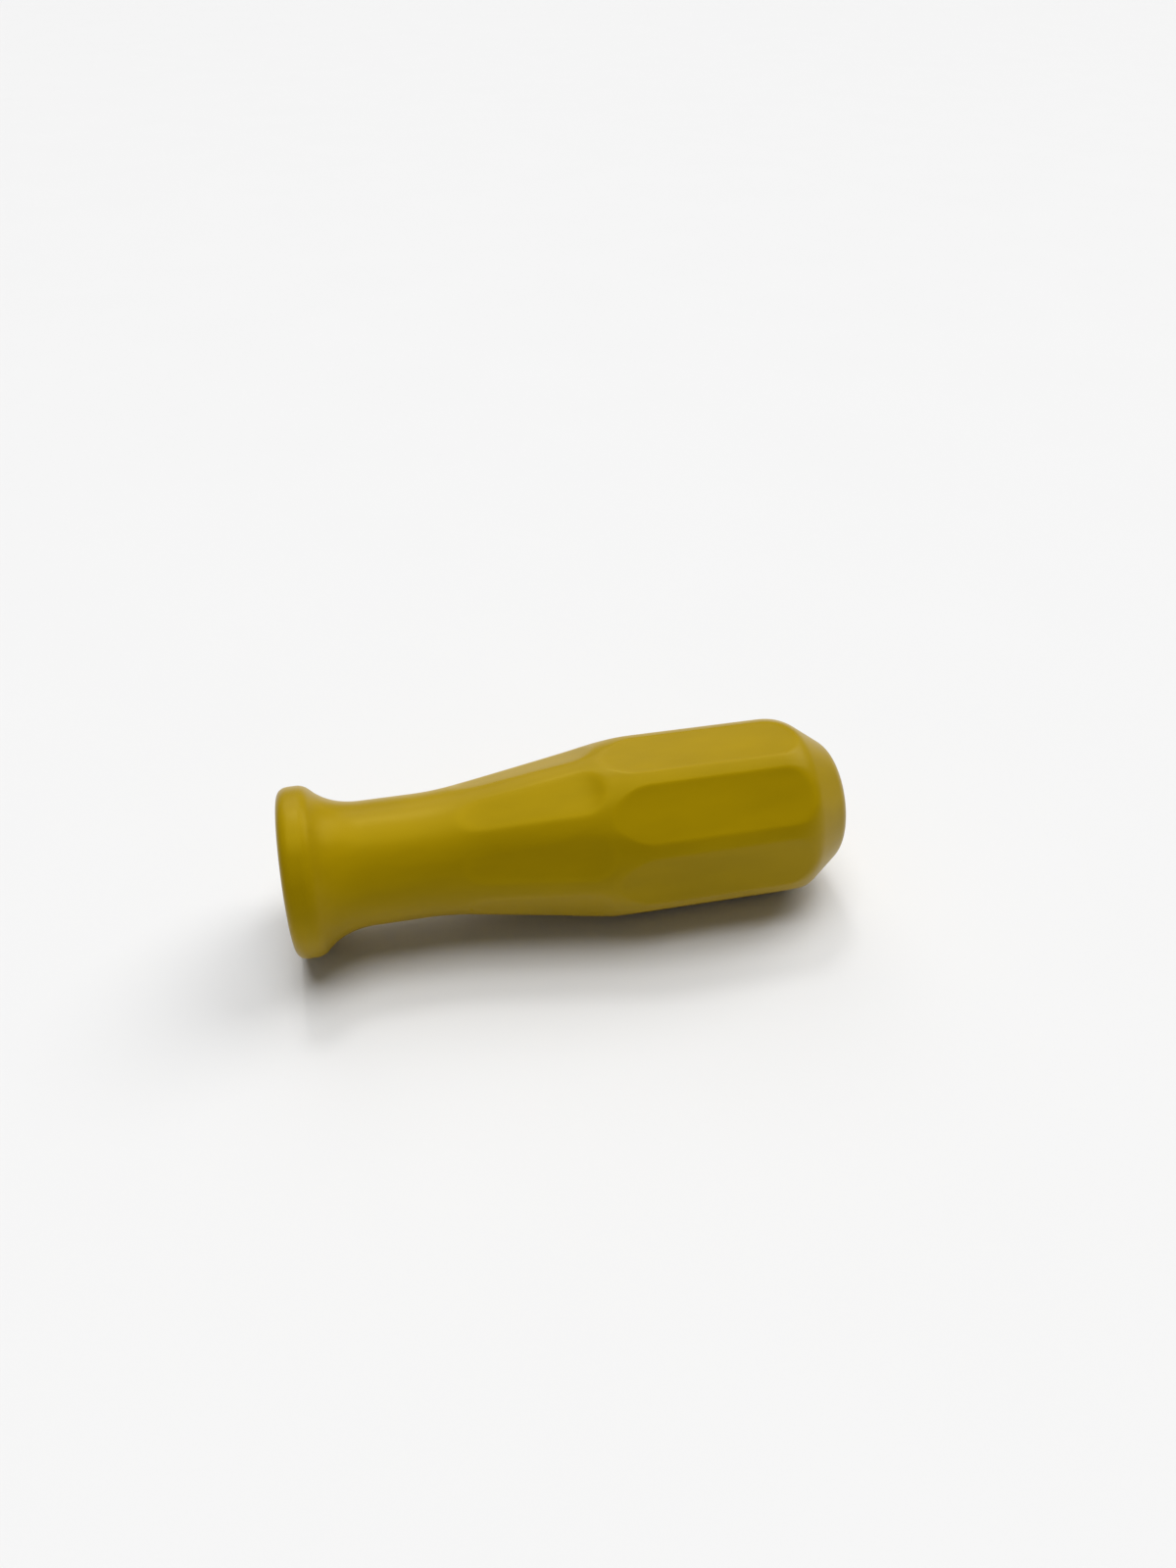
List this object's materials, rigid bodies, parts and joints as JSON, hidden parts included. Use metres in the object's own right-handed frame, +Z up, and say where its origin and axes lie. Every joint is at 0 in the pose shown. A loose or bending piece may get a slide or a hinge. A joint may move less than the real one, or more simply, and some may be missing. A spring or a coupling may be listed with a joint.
{
  "type": "file handle",
  "caption": "Yellow plastic file handle: finger flange, slim neck, faceted cone and grip, rounded butt, steel tang insert and washer.",
  "frame": {"origin": "under the middle of the handle's length and of its width, on the plane of the grip's lowest flat, which the handle lies on", "axes": "+X along the handle's axis from the flange to the butt; +Z up from the flat that it lies on; the handle's axis is 17.4 mm above the origin"},
  "size_m": [0.11, 0.0348, 0.0348],
  "materials": {
    "yellow_plastic": "satin moulded",
    "hardened_steel": "dark turned and hardened",
    "plated_steel": "bright zinc plated"
  },
  "bodies": {
    "root": {"grip_body": "yellow_plastic", "tang_insert": "hardened_steel", "thrust_washer": "plated_steel"}
  },
  "joints": []
}
